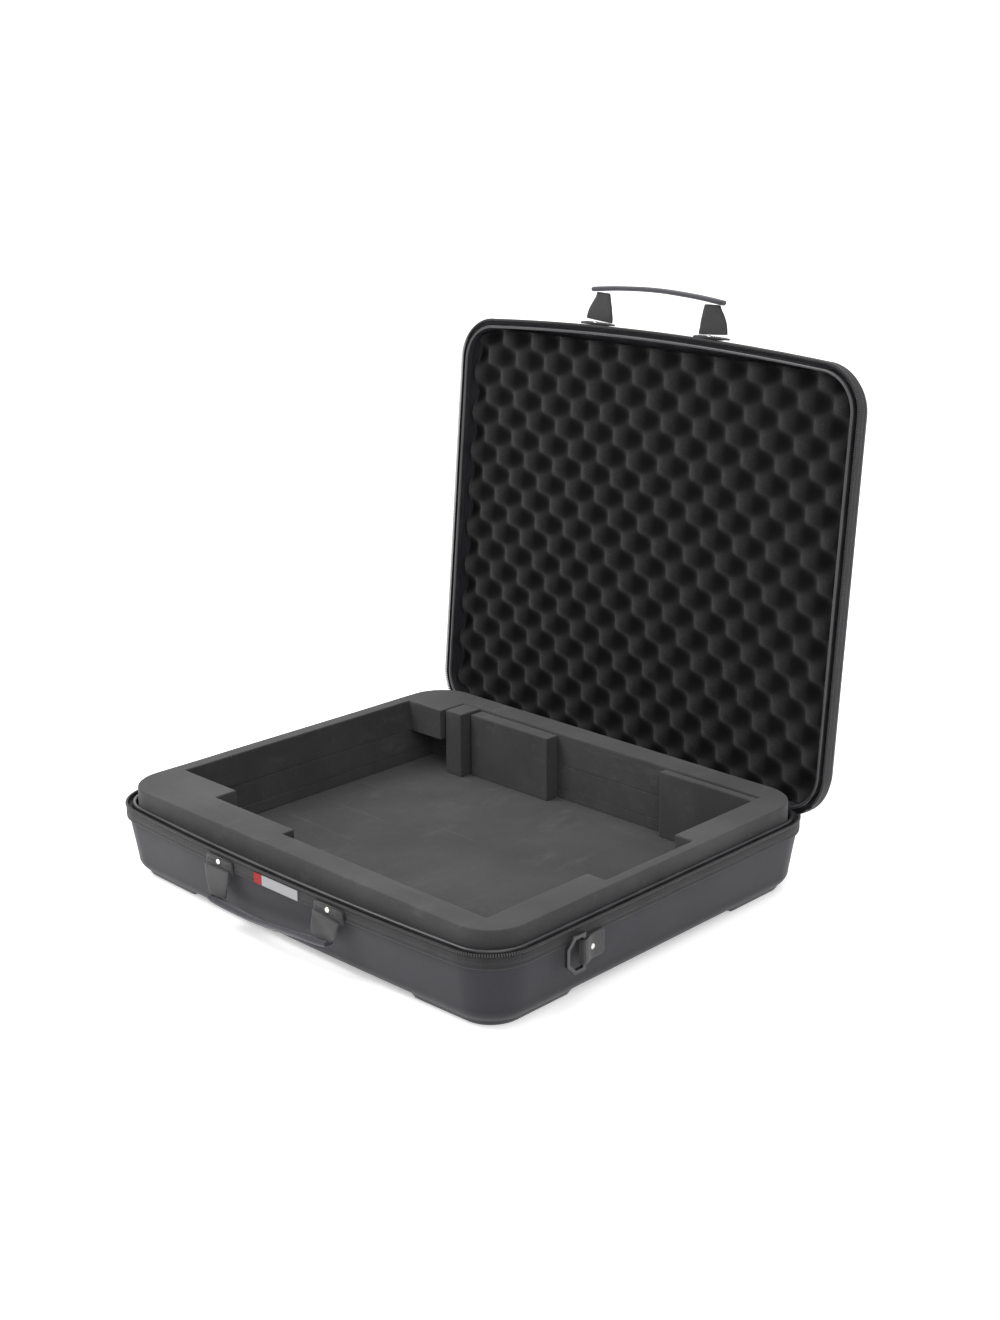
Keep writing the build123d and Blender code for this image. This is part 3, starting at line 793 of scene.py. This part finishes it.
# ---- lid foam -----------------------------------------------------------------------
def convoluted_sheet():
    """Egg-crate foam: staggered pits, cut square at its edges."""
    half_x, half_y, corner = HALF_WIDTH - FOAM_INSET, HALF_DEPTH - FOAM_INSET, 34.0
    step = 1.8
    columns = int(2 * half_x / step)
    lines = int(2 * half_y / step)
    middle, swing = (PEAK_DEPTH + PIT_DEPTH) / 2, (PIT_DEPTH - PEAK_DEPTH) / 2
    verts, shade_heights, faces = [], [], []
    for j in range(lines + 1):
        for i in range(columns + 1):
            x = -half_x + 2 * half_x * i / columns
            y = -half_y + 2 * half_y * j / lines
            cut_x, cut_y = abs(x) - (half_x - corner), abs(y) - (half_y - corner)
            if cut_x > 0 and cut_y > 0:
                reach = math.hypot(cut_x, cut_y)
                square = max(cut_x, cut_y)
                x -= math.copysign(cut_x * (1 - square / reach), x)
                y -= math.copysign(cut_y * (1 - square / reach), y)
            shift = noise.noise_vector(Vector((x, y, 0)) * 0.011) * 1.4
            a = math.pi * (x + shift.x - PIT_X) / (PITCH_X / 2)
            b = math.pi * (y + shift.y - PIT_Y) / (PITCH_Y / 2)
            wave = math.cos(a) * math.cos(b)
            wave = math.copysign(abs(wave) ** 0.82, wave)
            depth = middle + swing * wave + shift.z * 0.5
            verts.append(lid_place(x, y, depth))
            # Level for the painted shade of the pits: 0 in a pit, 1 on a peak.
            shade_heights.append(0.5 - 0.5 * wave)
            if i < columns and j < lines:
                k = j * (columns + 1) + i
                faces.append((k, k + 1, k + columns + 2, k + columns + 1))
    rim = [i for i in range(columns + 1)]
    rim += [j * (columns + 1) + columns for j in range(1, lines + 1)]
    rim += [lines * (columns + 1) + i for i in range(columns - 1, -1, -1)]
    rim += [j * (columns + 1) for j in range(lines - 1, 0, -1)]
    back_push = lid_place(0, 0, FOAM_BACK) - lid_place(0, 0, 0)
    inward = lid_place(0, 0, 0)
    normal = back_push.normalized()
    first = len(verts)
    for index in rim:
        point = verts[index]
        level = (point - inward).dot(normal) / MM
        verts.append(point + normal * (FOAM_BACK - level) * MM)
        # The cut edge gets a middling level of painted shade.
        shade_heights.append(0.25)
    for i in range(len(rim)):
        j = (i + 1) % len(rim)
        faces.append((rim[i], rim[j], first + j, first + i))
    faces.append(tuple(first + i for i in range(len(rim))))
    obj = make_object("convoluted_sheet", verts, faces, "convoluted_foam")
    # These levels go to the foam material, which paints shade into the pits.
    attribute = obj.data.attributes.new("height", "FLOAT", "POINT")
    attribute.data.foreach_set("value", shade_heights)
    finish_piece(obj, "lid", "convoluted_foam")
    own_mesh(obj)


convoluted_sheet()


# ---- handles --------------------------------------------------------------------------
# One stitch: (along, share of the width, lift), and (across, share of the lift)
THREAD_LENGTH = ((-0.85, 0.3, 0.0), (-0.4, 1.0, 0.35), (0.4, 1.0, 0.35), (0.85, 0.3, 0.0))
THREAD_WIDTH = ((-0.28, 0.0), (0, 1.0), (0.28, 0.0))


def box_stitches(name, place, cx, out, drop, half_wide, half_tall, body, standing=False):
    """Square of stitches with a cross, on a patch."""
    corners = [(-1, -1), (1, -1), (1, 1), (-1, 1)]
    lines = list(zip(corners, corners[1:] + corners[:1])) + [((-1, -1), (1, 1)), ((-1, 1), (1, -1))]
    verts, faces = [], []
    for a, b in lines:
        start = (a[0] * half_wide, a[1] * half_tall)
        end = (b[0] * half_wide, b[1] * half_tall)
        length = math.dist(start, end)
        count = max(3, int(length / 2.6))
        ux, uy = (end[0] - start[0]) / length, (end[1] - start[1]) / length
        for k in range(count):
            t = (k + 0.5) * length / count
            mx, my = start[0] + ux * t, start[1] + uy * t
            first = len(verts)
            for reach, swell, lift in THREAD_LENGTH:
                for side, raise_ in THREAD_WIDTH:
                    px = mx + ux * reach - uy * side * swell
                    py = my + uy * reach + ux * side * swell
                    verts.append(place(cx + px, -(out + lift * raise_), drop + py))
            for r in range(3):
                for c in range(2):
                    q = first + r * 3 + c
                    faces.append((q, q + 1, q + 4, q + 3))
    piece = make_object(name, verts, faces, "thread")
    finish_piece(piece, body)


def patch(name, place, cx, body, node):
    """Webbing patch sewn over the tape, with its lower edge folded under."""
    out = 219.35
    stations = [(cx, -out, 5.2, 1, 0, 0, 35.6), (cx, -out - 0.25, 8.0, 1, 0, 0, 36),
                (cx, -out - 0.25, 13.5, 1, 0, 0, 36), (cx, -out, 16.8, 1, 0, 0, 35.6)]
    piece = strap(name, place, stations, 2.3, "webbing", 5)
    finish_piece(piece, body, node)


def rivet(name, place, centre, direction, body, node):
    """Domed tubular rivet with a rolled rim; direction is out of the surface."""
    profile = [(0.7, 1.4), (1.15, 1.15), (1.3, 0.95), (1.55, 1.05), (2.0, 1.0), (2.4, 0.75),
               (2.6, 0.35), (2.6, 0.0)]
    axis = Vector(direction).normalized()
    side = axis.orthogonal().normalized()
    other = axis.cross(side)
    rows = []
    for radius, height in profile:
        row = []
        for i in range(24):
            angle = 2 * math.pi * i / 24
            offset = side * (radius * math.cos(angle)) + other * (radius * math.sin(angle)) + axis * height
            row.append(place(*(Vector(centre) + Vector((offset.x, offset.y, -offset.z)))))
        rows.append(row)
    piece = grid(name, rows, "rivet_metal", cap_ends=True)
    finish_piece(piece, body, node)


def lid_handle():
    """Webbing handle that stands up from the open lid."""
    drop, out = HANDLE_DROP, HANDLE_OUT
    for side, name in ((-1, "left"), (1, "right")):
        cx = side * HANDLE_SPAN
        lean = 2.0 * side
        stations = [
            (cx, -out + 0.2, drop, 1, 0, 0, 35),
            (cx - lean * 0.3, -out - 7, drop + 0.4, 1, 0, 0, 33),
            (cx - lean, -out - 15, drop + 0.6, 1, 0, 0.05 * side, 28),
            (cx - lean * 1.5, -out - 22, drop + 0.4, 1, 0, 0.08 * side, 22),
            (cx - lean * 1.6, -out - 28, drop, 1, 0, 0.05 * side, 18),
        ]
        tab = strap(f"lid_tab_{name}", lid_place, stations, 2.3, "webbing", 6)
        subdivide(tab)
        finish_piece(tab, "lid_handle", "lid_handle_tabs")
        patch(f"lid_patch_{name}", lid_place, cx, "lid", "lid_handle_patches")
        box_stitches(f"lid_tab_stitches_{name}", lid_place, cx, 220.85, 11.8, 15.0, 3.4, "lid")
        rivet(f"lid_rivet_{name}", lid_place, (cx, -220.6, 8.2), (0, -1, 0), "lid", "lid_handle_rivets")
    stations = []
    for x, out_more, width in ((-82, 30.2, 9), (-74, 31.2, 11.2), (-50, 33.4, 12), (-20, 35.0, 12),
                               (0, 35.4, 12), (20, 35.0, 12), (50, 33.4, 12), (74, 31.2, 11.2),
                               (82, 30.2, 9)):
        stations.append((x, -out - out_more, drop, 0, 0, 1, width))
    grip = strap("lid_grip", lid_place, stations, 4.6, "grip_cover", 6, 1.05)
    subdivide(grip)
    finish_piece(grip, "lid_handle", "lid_handle_grip")


def base_handle():
    """Webbing handle that droops against the front wall, one side folded up."""
    out = HANDLE_OUT
    left = [
        (-72, -out, 13.0, 1, 0, 0, 35),
        (-72, -out - 0.6, 22, 1, 0, 0.05, 32),
        (-72.5, -out - 0.4, 31, 1, 0.1, 0.12, 25),
        (-73, -out + 0.4, 40.5, 1, 0.15, 0.18, 19),
    ]
    right = [
        (72, -out, 13.0, 1, 0, 0, 35),
        (71, -out - 1.2, 20, 1, 0, -0.05, 32),
        (68, -out - 1.4, 27, 1, 0.1, -0.18, 25),
        (64, -out - 0.6, 35, 1, 0.1, -0.3, 19),
    ]
    for name, stations in (("left", left), ("right", right)):
        tab = strap(f"base_tab_{name}", base_place, stations, 2.3, "webbing", 6)
        subdivide(tab)
        finish_piece(tab, "base_handle", "base_handle_tabs")
    for side, name in ((-1, "left"), (1, "right")):
        cx = side * HANDLE_SPAN
        patch(f"base_patch_{name}", base_place, cx, "base", "base_handle_patches")
        box_stitches(f"base_tab_stitches_{name}", base_place, cx, 220.85, 11.8, 15.0, 3.4, "base")
        rivet(f"base_rivet_{name}", base_place, (cx, -220.6, 8.2), (0, -1, 0), "base", "base_handle_rivets")
    stations = [
        (-82, -out, 43.0, 0, 1, 0.2, 10.5),
        (-74, -out, 44.6, 0, 1, 0.2, 11.8),
        (-48, -out - 0.5, 45.8, 0, 1, 0.35, 12),
        (-20, -out - 1.5, 45.6, 0, 1, 0.6, 12),
        (4, -out - 2.2, 43.8, 0, 1, 0.9, 12),
        (26, -out - 2.0, 41.6, 0, 1, 0.7, 12),
        (48, -out - 1.2, 39.6, 0, 1, 0.4, 12),
        (66, -out - 0.4, 38.2, 0, 1, 0.2, 11.8),
        (75, -out, 37.0, 0, 1, 0.2, 10.5),
    ]
    grip = strap("base_grip", base_place, stations, 4.6, "grip_cover", 6, 1.05)
    subdivide(grip)
    finish_piece(grip, "base_handle", "base_handle_grip")


lid_handle()
base_handle()


# ---- strap rings --------------------------------------------------------------------------
def dress(node, slot):
    """Gives a CAD node that stays in view its material."""
    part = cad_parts[node]
    part.data.materials.clear()
    part.data.materials.append(MATERIALS[slot])


def ring_tab(side, name):
    """Webbing folded round the ring's bar and sewn to the side wall."""
    across = 22.0
    path = [(252.9, -86.5), (252.9, -98.0), (252.6, -107.0), (252.5, -111.0)]
    for step in range(1, 6):
        angle = math.radians(180 - 36 * step)
        path.append((RING_X + 2.9 * math.cos(angle), RING_Y - 2.9 * math.sin(angle)))
    path += [(257.6, -109.5), (255.2, -104.0), (254.3, -98.0), (254.2, -86.5)]
    stations = [(side * x, y, RING_DROP, 0, 0, 1, across) for x, y in path]
    piece = strap(f"ring_webbing_{name}", base_place, stations, 1.1, "webbing", 5)
    subdivide(piece)
    finish_piece(piece, "base", f"ring_tab_{name}")


for side, name in ((-1, "left"), (1, "right")):
    ring_tab(side, name)
    rivet(f"ring_rivet_{name}", base_place, (side * 254.7, -101.75, RING_DROP), (side, 0, 0),
          "base", "ring_tab_rivets")
    dress(f"d_ring_{name}", "ring_plastic")
for node, slot in (("zip_end_stops", "rivet_metal"), ("zip_slider", "slider_metal"),
                   ("zip_pull", "slider_metal"), ("front_label", "label_cloth")):
    dress(node, slot)


# ---- stage ------------------------------------------------------------------------------------
CAMERA_AZIMUTH = 40.654
CAMERA_ELEVATION = 15.36
CAMERA_ROLL = 0.905
CAMERA_PLACE = Vector((1.17464, -1.14565, 0.71388))


def stage():
    """Pale floor that curves up behind the case."""
    rows = []
    profile = [(-6.0, 0.0), (2.5, 0.0)]
    for step in range(1, 9):
        angle = math.radians(90 * step / 8)
        profile.append((2.5 + 2.0 * math.sin(angle), 2.0 - 2.0 * math.cos(angle)))
    profile.append((4.5, 7.0))
    heading = math.radians(CAMERA_AZIMUTH)
    for reach, height in profile:
        row = []
        for wide in (-8.0, -3.0, 3.0, 8.0):
            x = -math.sin(heading) * reach + math.cos(heading) * wide
            y = math.cos(heading) * reach + math.sin(heading) * wide
            row.append(Vector((x, y, height)))
        rows.append(row)
    m = Nodes("pale_floor", (0.9, 0.9, 0.9), 0.9, 0.1)
    m.shader.inputs["Emission Color"].default_value = (1, 1, 1, 1)
    m.shader.inputs["Emission Strength"].default_value = 0.35
    verts = [point for row in rows for point in row]
    faces = [(j * 4 + i, j * 4 + i + 1, j * 4 + i + 5, j * 4 + i + 4)
             for j in range(len(rows) - 1) for i in range(3)]
    mesh = bpy.data.meshes.new("backdrop")
    mesh.from_pydata([tuple(v) for v in verts], [], faces)
    mesh.shade_smooth()
    mesh.materials.append(m.material)
    floor = bpy.data.objects.new("backdrop", mesh)
    bpy.context.scene.collection.objects.link(floor)


def camera():
    """Camera from the front right, a little above the open case."""
    azimuth, elevation = math.radians(CAMERA_AZIMUTH), math.radians(CAMERA_ELEVATION)
    back = Vector((math.sin(azimuth) * math.cos(elevation), -math.cos(azimuth) * math.cos(elevation),
                   math.sin(elevation)))
    data = bpy.data.cameras.new("camera")
    data.lens = 51.153
    data.sensor_width = 36.0
    data.shift_x = -0.10666
    data.shift_y = -0.04649
    data.clip_end = 50.0
    obj = bpy.data.objects.new("camera", data)
    facing = back.to_track_quat("Z", "Y").to_matrix().to_4x4()
    roll = Matrix.Rotation(math.radians(CAMERA_ROLL), 4, "Z")
    obj.matrix_world = Matrix.Translation(CAMERA_PLACE) @ (facing @ roll)
    bpy.context.scene.collection.objects.link(obj)
    bpy.context.scene.camera = obj


def area_light(name, place, target, size, power):
    data = bpy.data.lights.new(name, "AREA")
    data.shape = "RECTANGLE"
    data.size, data.size_y = size
    data.energy = power
    obj = bpy.data.objects.new(name, data)
    obj.location = place
    obj.rotation_euler = (Vector(place) - Vector(target)).to_track_quat("Z", "Y").to_euler()
    bpy.context.scene.collection.objects.link(obj)


def lights():
    """White surroundings with three large soft lights."""
    world = bpy.data.worlds.new("studio")
    world.use_nodes = True
    background = world.node_tree.nodes["Background"]
    background.inputs["Color"].default_value = (1, 1, 1, 1)
    background.inputs["Strength"].default_value = 1.0
    bpy.context.scene.world = world
    area_light("key", (-1.3, -1.5, 2.3), (0, 0, 0.15), (1.4, 1.4), 55)
    area_light("fill", (2.2, -1.2, 1.6), (0, 0, 0.15), (1.6, 1.6), 18)
    area_light("top", (0.2, 0.6, 2.8), (0, 0, 0.1), (1.8, 1.2), 25)


stage()
camera()
lights()
bpy.context.scene.view_settings.view_transform = "Standard"
